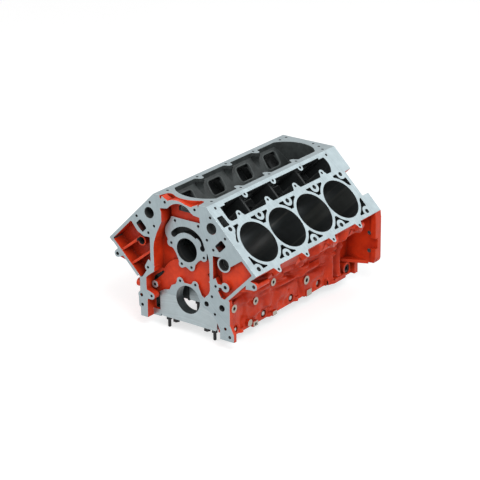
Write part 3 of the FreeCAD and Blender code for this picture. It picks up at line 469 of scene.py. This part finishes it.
def boss_masks(y, z):
    """True inside each boss that keeps its exact shape, and inside the wider ring round it."""
    inside = np.zeros(y.shape, bool)
    ring = np.zeros(y.shape, bool)
    for by, bz, r, _ in ROUND_BOSSES:
        away = np.hypot(y - by, z - bz)
        inside |= away < r - 2.6
        ring |= away < r + 1.6
    for by in MAINS:
        away = np.hypot(y - by, z - SEAT_Z)
        inside |= away < SEAT_R + 2.0
        ring |= away < 15.6
    for by, half, top in SQUARE_PADS:
        inside |= (abs(y - by) < half - 2.6) & (z < top - 2.6)
        ring |= (abs(y - by) < half + 1.6) & (z < top + 1.6)
    inside |= (y > 427) & (z < TOE_TOP - 0.9)
    return inside, ring


def ramp(value, start, end):
    """Smooth rise from 0 at start to 1 at end."""
    t = np.clip((value - start) / (end - start), 0, 1)
    return t * t * (3 - 2 * t)


def relief(y, z, base):
    """The swells, the jacket bulges and the unevenness of a sand casting, in mm."""
    along = y + 1.334 * (base - 122)
    up = z - 0.666 * (base - 122)
    total = np.zeros(y.shape)
    for sy, sz, ry, rz, slope, depth in SWELLS:
        c, s = math.cos(math.radians(slope)), math.sin(math.radians(slope))
        u, v = (along - sy) * c + (up - sz) * s, (up - sz) * c - (along - sy) * s
        total += depth * np.exp(-0.5 * ((u / ry) ** 4 + (v / rz) ** 2))
    for start, end in BULGES:
        body = ramp(along, start - 3, start + 4) * (1 - ramp(along, end - 10, end + 14))
        total += 10.0 * body * ramp(up, 22, 30)
    noise = np.random.default_rng(7).standard_normal(y.shape)
    for width, depth in ((2.2, 0.16), (5.0, 0.35), (10.0, 0.6)):
        lumps = blurred(noise, width)
        total += depth * lumps / lumps.std()
    return total


def seat_collar(side, by, face):
    """The rounded rim of one side bolt's seat: rings of points from the seat out to the skin."""
    rings = [(SEAT_R, -1.2), (SEAT_R + 0.2, -0.1), (SEAT_R + 0.9, 0.35), (SEAT_R + 2.2, 0.3),
             (14.5, -0.7)]
    count = 48
    turns = [2 * math.pi * i / count for i in range(count)]
    points = [(side * (face + h) * MM, (by + r * math.cos(t) + FRONT_Y) * MM,
               (SEAT_Z + r * math.sin(t)) * MM) for r, h in rings for t in turns]
    quads = []
    for row in range(len(rings) - 1):
        for i in range(count):
            j = (i + 1) % count
            quad = [row * count + i, (row + 1) * count + i, (row + 1) * count + j, row * count + j]
            quads.append(quad if side == LEFT else quad[::-1])
    return points, quads


def flank_height(side, tree, y, z):
    """Distance of the painted wall from the middle plane, square on to the skirt."""
    height = np.full(y.shape, np.nan)
    for index in np.ndindex(y.shape):
        start = Vector((side * 0.3, (y[index] + FRONT_Y) * MM, z[index] * MM))
        hit = tree.ray_cast(start, Vector((-side, 0, 0)))[0]
        if hit is not None:
            height[index] = abs(hit.x) / MM
    return height


def flank_skin(side, mesh, material):
    """One smooth cast skin over the wall under a deck, in place of its sharp-cornered faces."""
    tree = BVHTree.FromPolygons([v.co for v in mesh.vertices], [p.vertices for p in mesh.polygons])
    shift = 0.0 if side == LEFT else BANK_OFFSET
    ys = np.arange(0.4, SKIN_REAR + 0.1, STEP)
    zs = np.append(np.arange(SKIN_FOOT, SKIN_TOP - 1, STEP), SKIN_TOP)
    y, z = np.meshgrid(ys, zs)
    base = plain_wall(z)
    seen = flank_height(side, tree, y, z)
    inside, ring = boss_masks(y, z)
    tabs = np.zeros(y.shape, bool)
    for bore in BORES:
        tabs |= (abs(y - bore - shift) < 9.5) & (z > 95)
    from_plug = np.hypot(y - PLUG_Y, z - PLUG_Z)
    known = ~(ring | tabs | (from_plug < 17) | np.isnan(seen)) & (seen > base - 3)
    wall = filled(seen, known)
    soft = np.clip(blurred(wall, 1.7), wall - 4.0, wall + 4.0)
    soft = soft + relief(y - 0.5 * shift, z, base)
    floor = np.full(y.shape, 0.0)
    for by, bz, r, reach in ROUND_BOSSES:
        past = np.maximum(np.hypot(y - by, z - bz) - r, 0)
        soft = np.minimum(soft, reach - 2.5 + 0.8 * past)
        floor = np.maximum(floor, wall + 1.0 - 0.7 * past)
    for by, half, top in SQUARE_PADS:
        past = np.maximum(np.maximum(abs(y - by) - half, z - top), 0)
        soft = np.minimum(soft, 131.5 + 2.0 * past)
        floor = np.maximum(floor, wall + 1.0 - 0.7 * past)
    soft = np.maximum(soft, floor)
    for by, face in zip(MAINS, SEAT_FACES):
        near = 1 - ramp(np.hypot(y - by, z - SEAT_Z), 13.5, 22)
        soft = near * face + (1 - near) * soft
    away = np.minimum.reduce([(y - SOFT_FRONT) / 8, (468 - y) / 8, (z - SKIN_FOOT) / 6,
                              (SKIN_TOP - z) / 6])
    share = np.clip(away, 0, 1)
    plain = np.where((y > SOFT_REAR) | (y < SOFT_FRONT), base, wall)
    height = share * soft + (1 - share) * plain
    height = np.maximum(height, base - 5.0 * share)
    height = np.where((y < SOFT_FRONT) & (z < 62), np.minimum(height, base - 0.6), height)
    height = np.where((y < SOFT_FRONT) & (z >= 62), base, height)
    grid = np.arange(y.size).reshape(y.shape)
    cut = inside | (from_plug < 13)
    whole = ~(cut[:-1, :-1] | cut[1:, :-1] | cut[:-1, 1:] | cut[1:, 1:])
    a, b, c, d = grid[:-1, :-1][whole], grid[:-1, 1:][whole], grid[1:, 1:][whole], grid[1:, :-1][whole]
    quads = np.stack([a, b, c, d] if side == LEFT else [d, c, b, a], 1)
    points = (np.stack([side * height, y + FRONT_Y, z], -1).reshape(-1, 3) * MM).tolist()
    quads = quads.tolist()
    for by, face in zip(MAINS, SEAT_FACES):
        more, faces = seat_collar(side, by, face)
        quads += [[v + len(points) for v in quad] for quad in faces]
        points += more
    add_mesh("flank_skin_left" if side == LEFT else "flank_skin_right", points, quads, material)


def uncovered(mesh, finish):
    """True for each face that stays, so not for the painted ones that the two skins stand for."""
    points = face_arrays(mesh)[0]
    flat = flat_normals(points)
    x, y, z = points.mean(1).T
    side = np.where(x >= 0, LEFT, RIGHT)
    shift = np.where(side == LEFT, 0.0, BANK_OFFSET)
    painted = finish == FINISHES.index("paint")
    out = abs(x)
    base = plain_wall(z)
    all_y, all_z = points[:, :, 1], points[:, :, 2]
    on_wall = abs(abs(points[:, :, 0]) - plain_wall(all_z)).max(1) < 0.5
    lowest = all_z.min(1)
    highest = all_z.max(1)
    gone = painted & on_wall & (flat[:, 0] * side > 0.3) & (highest < 109) & (lowest > -63.1)
    ring = np.zeros(len(x), bool)
    for by, bz, r, _ in ROUND_BOSSES:
        ring |= (np.hypot(all_y - by, all_z - bz) < r + 0.4).all(1)
    for by in MAINS:
        ring |= (np.hypot(all_y - by, all_z - SEAT_Z) < SEAT_R + 0.4).all(1)
    for by, half, top in SQUARE_PADS:
        ring |= ((abs(all_y - by) < half + 0.4) & (all_z < top + 0.4)).all(1)
    tab = np.zeros(len(x), bool)
    for bore in BORES:
        tab |= (abs(y - bore - shift) < 14) & (highest > 99)
    feature = painted & (out > base + 0.2) & (out < 207) & (highest < 109.2) & (lowest > -63.4)
    feature &= (abs(flat[:, 2]) < 0.95) & (all_y.min(1) > 11) & (all_y.max(1) < 463) & ~ring & ~tab
    toe = (all_y.min(1) > 423) & (lowest < TOE_TOP - 0.5) & (highest < TOE_TOP + 0.5)
    return ~((gone | feature) & ~toe)


# ---- cast details of the valley -------------------------------------------------------------
WALL_FOOT = (35.0, 203.0)          # the sloping valley wall, from its foot to its top: x, z
WALL_TOP = (61.5, 243.0)
WINDOW_YS = [89, 201, 313, 424]
RAIL_LUG_YS = [149, 261, 372]


def wall_point(side, y, along, out):
    """A point on a valley wall: distance up the slope from its foot and out of the wall, in mm."""
    length = math.hypot(WALL_TOP[0] - WALL_FOOT[0], WALL_TOP[1] - WALL_FOOT[1])
    ux, uz = (WALL_TOP[0] - WALL_FOOT[0]) / length, (WALL_TOP[1] - WALL_FOOT[1]) / length
    x = WALL_FOOT[0] + ux * along - uz * out
    z = WALL_FOOT[1] + uz * along + ux * out
    return (side * x * MM, (y + FRONT_Y) * MM, z * MM)


def rounded_loop(half_y, low, high, radius, grow, count=8):
    """Points round a rounded rectangle, grown outward by some millimetres."""
    loop = []
    corners = [(half_y - radius, high - radius, 0), (-half_y + radius, high - radius, 90),
               (-half_y + radius, low + radius, 180), (half_y - radius, low + radius, 270)]
    for cy, ca, start in corners:
        for i in range(count + 1):
            t = math.radians(start + 90 * i / count)
            loop.append((cy + (radius + grow) * math.cos(t), ca + (radius + grow) * math.sin(t)))
    return loop


def bridge(rows, count, start, flip):
    """Quads that join equal closed loops of points, one after another."""
    quads = []
    for row in range(rows - 1):
        for i in range(count):
            a, b = start + row * count + i, start + row * count + (i + 1) % count
            quad = [a, b, b + count, a + count]
            quads.append(quad[::-1] if flip else quad)
    return quads


def window_rims(side, material):
    """The raised, rounded rim round each window in a valley wall."""
    points, quads = [], []
    shift = -BANK_OFFSET if side == LEFT else 0.0
    profile = [(-0.3, -3.0), (-0.2, 0.9), (0.5, 1.7), (2.4, 1.8), (3.8, 1.1), (4.8, -0.4)]
    for y in WINDOW_YS:
        start = len(points)
        for grow, out in profile:
            loop = rounded_loop(25.0, 1.8, 38.6, 8.0, grow)
            points += [wall_point(side, y + shift + cy, ca, out) for cy, ca in loop]
        quads += bridge(len(profile), len(loop), start, side == LEFT)
    add_mesh("window_rims_left" if side == LEFT else "window_rims_right", points, quads, material)


def lug_roots(side, material):
    """The cast root that carries each rail lug down into the valley wall."""
    points, quads = [], []
    rings = [(246.0, 56.0, 8.8), (243.0, 56.6, 8.6), (239.0, 57.6, 8.4), (234.0, 58.0, 8.2),
             (228.0, 56.6, 8.0), (222.0, 53.6, 7.4), (214.0, 48.6, 6.0)]
    count = 24
    for y in RAIL_LUG_YS:
        start = len(points)
        for z, x, r in rings:
            for i in range(count):
                t = 2 * math.pi * i / count
                points.append((side * (x - r * math.cos(t)) * MM,
                               (y + FRONT_Y + 1.5 * r * math.sin(t)) * MM, z * MM))
        quads += bridge(len(rings), count, start, side == RIGHT)
    add_mesh("lug_roots_left" if side == LEFT else "lug_roots_right", points, quads, material)


def dress_casting():
    """The finishes of the casting, and the soft forms that its solid lacks."""
    mesh = casting_copy().data
    finish = sort_faces(mesh)
    made = {
        "paint": paint("orange_paint"),
        "front": machined("milled_front", (0.35, -0.26, 0.30), pitch=0.0013),
        "left_deck": machined("milled_left_deck", (0.28, -0.60, 0.20)),
        "right_deck": machined("milled_right_deck", (-0.28, -0.60, 0.20)),
        "rail": machined("milled_rail", (0.30, 0.9, 0.25)),
        "bore": honed("honed_bore"),
        "raw": raw_iron("raw_casting"),
        # Painted shade: a near-black copy of the raw iron for deep slots and openings.
        "dark": raw_iron("painted_shade_casting", (0.018, 0.022, 0.022), (0.010, 0.012, 0.012)),
        # Painted shade: a dark red copy of the paint for the inside of the slanted port.
        "port": raw_iron("port_painted_shade", (0.09, 0.016, 0.012), (0.035, 0.012, 0.010), metallic=0.0),
        "tap_x": threaded("tapped_x", (1, 0, 0)),
        "tap_y": threaded("tapped_y", (0, 1, 0)),
        "tap_z": threaded("tapped_z", (0, 0, 1)),
        "tap_left": threaded("tapped_left", (S, 0, S)),
        "tap_right": threaded("tapped_right", (-S, 0, S)),
        "port_wall": raw_iron("port_wall", (0.11, 0.12, 0.12), (0.03, 0.03, 0.03), metallic=0.6),
        # Painted shade: a darker copy of the raw iron for the deep lifter pockets.
        "pocket": raw_iron("pocket_painted_shade", (0.020, 0.024, 0.025), (0.012, 0.014, 0.014)),
        "pad": machined("milled_pad", (0.14, 0.0, -0.5), base=(0.44, 0.42, 0.36), roughness=0.45),
    }
    mesh.materials.clear()
    for name in FINISHES:
        mesh.materials.append(made[name])
    mesh.polygons.foreach_set("material_index", finish.astype(np.int32))
    rim = raw_iron("raw_rim", base=(0.085, 0.098, 0.098), dark=(0.045, 0.052, 0.052))
    for side in (LEFT, RIGHT):
        flank_skin(side, mesh, made["paint"])
        window_rims(side, rim)
        lug_roots(side, made["raw"])
    stay = uncovered(mesh, finish)
    bm = bmesh.new()
    bm.from_mesh(mesh)
    bm.faces.ensure_lookup_table()
    bmesh.ops.delete(bm, geom=[f for f, s in zip(bm.faces, stay) if not s], context="FACES")
    bm.to_mesh(mesh)
    bm.free()


# ---- caps and fasteners ---------------------------------------------------------------------
def black_oxide(name):
    m = Shade(name, metallic=0.7)
    cloud = m.noise(300.0, 3.0)
    rounded = m.bevel(0.0006)
    color = m.mix(m.ramp(cloud, 0.3, 0.7), (0.014, 0.014, 0.015), (0.035, 0.035, 0.037))
    # Painted highlight: rounded edges are mixed toward a lighter grey.
    color = m.mix(m.math("MULTIPLY", edge_highlight_mask(m, rounded), 0.6), color, (0.16, 0.16, 0.165))
    return m.finish(color, m.ramp(cloud, 0.3, 0.7, 0.32, 0.48), cloud, 0.0001, 0.4, rounded)


def zinc(name):
    m = Shade(name, metallic=0.9)
    cloud = m.noise(260.0, 3.0)
    rounded = m.bevel(0.0006)
    color = m.mix(m.ramp(cloud, 0.3, 0.7), (0.50, 0.52, 0.50), (0.36, 0.38, 0.37))
    return m.finish(color, m.ramp(cloud, 0.3, 0.7, 0.28, 0.42), cloud, 0.0001, 0.4, rounded)


def dress_nodes():
    """The finishes of the caps, bolts, studs and plug."""
    cap = machined("milled_cap", (0.0, -0.26, -0.4), base=(0.42, 0.49, 0.51), pitch=0.0015,
                   bore_r=0.0352)
    oxide = black_oxide("black_oxide")
    bright = zinc("bright_zinc")
    for name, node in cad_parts.items():
        if name.startswith("main_cap"):
            finish = cap
        elif name.endswith("side_bolts"):
            finish = bright
        else:
            finish = oxide
        for slot in node.material_slots:
            slot.link = "OBJECT"
            slot.material = finish


# ---- floor and light ------------------------------------------------------------------------
FLOOR_GLOW = 0.66          # lifts the lit floor to white where it is seen


def add_floor():
    floor_z = cad_box[0].z
    mesh = bpy.data.meshes.new("floor")
    half = 30.0
    mesh.from_pydata([(-half, -half, floor_z), (half, -half, floor_z), (half, half, floor_z),
                      (-half, half, floor_z)], [], [(0, 1, 2, 3)])
    floor = bpy.data.objects.new("floor", mesh)
    bpy.context.scene.collection.objects.link(floor)
    m = Shade("floor_paper", roughness=0.9)
    m.shader.inputs["Specular IOR Level"].default_value = 0.1
    path = m.tree.nodes.new("ShaderNodeLightPath")
    seen = m.math("MAXIMUM", path.outputs["Is Camera Ray"], path.outputs["Is Glossy Ray"])
    m.shader.inputs["Emission Color"].default_value = (1, 1, 1, 1)
    m.put(m.shader.inputs["Emission Strength"], m.math("MULTIPLY", seen, FLOOR_GLOW))
    m.finish(m.mix(m.noise(3.0, 2.0), (0.52, 0.52, 0.52), (0.535, 0.535, 0.535)))
    mesh.materials.append(m.mat)


def add_lamp(name, place, size, power, color=(1, 1, 1)):
    data = bpy.data.lights.new(name, "AREA")
    data.shape = "DISK"
    data.size = size
    data.energy = power
    data.color = color
    lamp = bpy.data.objects.new(name, data)
    lamp.location = place
    toward = Vector((0, 0, 0.08)) - Vector(place)
    lamp.rotation_euler = toward.to_track_quat("-Z", "Y").to_euler()
    bpy.context.scene.collection.objects.link(lamp)


def add_world():
    world = bpy.data.worlds.new("studio")
    world.use_nodes = True
    tree = world.node_tree
    background = tree.nodes["Background"]
    background.inputs["Color"].default_value = (1.0, 1.0, 1.0, 1.0)
    path = tree.nodes.new("ShaderNodeLightPath")
    seen = tree.nodes.new("ShaderNodeMath")
    seen.operation = "MAXIMUM"
    tree.links.new(path.outputs["Is Camera Ray"], seen.inputs[0])
    tree.links.new(path.outputs["Is Glossy Ray"], seen.inputs[1])
    also = tree.nodes.new("ShaderNodeMath")
    also.operation = "MAXIMUM"
    tree.links.new(seen.outputs[0], also.inputs[0])
    tree.links.new(path.outputs["Is Transmission Ray"], also.inputs[1])
    level = tree.nodes.new("ShaderNodeMapRange")
    level.inputs["To Min"].default_value = 0.55
    level.inputs["To Max"].default_value = 1.0
    tree.links.new(also.outputs[0], level.inputs["Value"])
    tree.links.new(level.outputs[0], background.inputs["Strength"])
    bpy.context.scene.world = world


add_camera()
add_floor()
add_world()
add_lamp("key", (1.35, -1.15, 1.85), 1.1, 26.0)
add_lamp("back_right", (1.1, 2.0, 1.7), 1.6, 9.0)
add_lamp("front_left", (-1.6, -1.8, 1.2), 1.6, 10.5)
bpy.context.scene.view_settings.view_transform = "Standard"
dress_casting()
dress_nodes()
